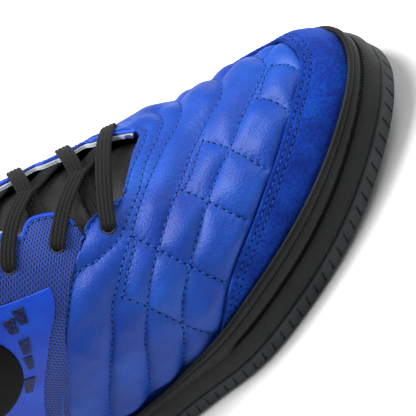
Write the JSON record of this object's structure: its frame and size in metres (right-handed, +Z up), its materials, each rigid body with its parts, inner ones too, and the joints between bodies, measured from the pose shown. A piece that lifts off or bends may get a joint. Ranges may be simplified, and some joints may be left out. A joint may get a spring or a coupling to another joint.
{
  "type": "boxing boot",
  "caption": "Right lace-up boxing boot: quilted low toe with suede cap, mesh sides, ankle shaft with padded collar, on a ribbed rubber cup sole.",
  "frame": {"origin": "centre of the boot's footprint box, on the ground under the tread", "axes": "+X towards the toe, +Y to the medial (inner) side, +Z up the shaft"},
  "size_m": [0.3019, 0.1142, 0.218],
  "materials": {
    "outsole_rubber": "matt charcoal rubber",
    "wall_rubber": "fine ribbed charcoal rubber",
    "spring_steel": "bare sprung steel",
    "foam": "closed cell foam",
    "board": "stitched fibre board",
    "sock_fabric": "knit faced foam",
    "quilted_leather": "royal blue synthetic leather, fine pebble grain",
    "lining": "black textile lining",
    "suede": "deep blue suede",
    "stiffener": "thermoplastic sheet",
    "binding": "black folded tape",
    "lace_braid": "black flat braid",
    "tongue_leather": "charcoal smooth leather",
    "webbing": "black webbing",
    "mesh": "royal blue spacer mesh",
    "film": "satin blue film",
    "badge": "plain black moulded film",
    "facing_leather": "royal blue synthetic leather with a pale cut edge",
    "facing_backing": "black woven tape"
  },
  "bodies": {
    "boot": {"outsole": "outsole_rubber", "cupsole_sidewall": "wall_rubber", "shank": "spring_steel", "midsole_foam": "foam", "lasting_board": "board", "vamp": "quilted_leather", "vamp_foam": "foam", "vamp_lining": "lining", "toe_cap": "suede", "toe_puff": "stiffener", "lateral_quarter_mesh": "mesh", "lateral_quarter_lining": "lining", "lateral_film": "film", "lateral_badge": "badge", "lateral_tiles": "badge", "lateral_shaft_panel": "quilted_leather", "lateral_shaft_lining": "lining", "lateral_eyestay": "facing_leather", "lateral_eyestay_backing": "facing_backing", "medial_quarter_mesh": "mesh", "medial_quarter_lining": "lining", "medial_film": "film", "medial_badge": "badge", "medial_tiles": "badge", "medial_shaft_panel": "quilted_leather", "medial_shaft_lining": "lining", "medial_eyestay": "facing_leather", "medial_eyestay_backing": "facing_backing", "collar_padding": "foam", "collar_lining": "lining", "collar_binding": "binding", "heel_panel": "quilted_leather", "heel_counter": "stiffener", "heel_lining": "lining", "heel_cover": "suede", "back_stay": "suede", "lace": "lace_braid"},
    "tongue": {"tongue_leather": "tongue_leather", "tongue_foam": "foam", "tongue_lining": "lining"},
    "sockliner": {"sockliner": "sock_fabric"},
    "pull_tab": {"pull_tab": "webbing"}
  },
  "joints": [
    {"name": "tongue_hinge", "type": "hinge", "parent": "boot", "child": "tongue", "pos_m": [0.0615, 0.001, 0.062], "axis": [0, 1, 0], "range_deg": [-8, 0]},
    {"name": "sockliner_lift", "type": "hinge", "parent": "boot", "child": "sockliner", "pos_m": [0.1425, 0.009, 0.0235], "axis": [0, 1, 0], "range_deg": [0, 6]},
    {"name": "pull_tab_hinge", "type": "hinge", "parent": "boot", "child": "pull_tab", "pos_m": [-0.1482, 0.002, 0.1868], "axis": [0, -1, 0], "range_deg": [0, 100]}
  ]
}
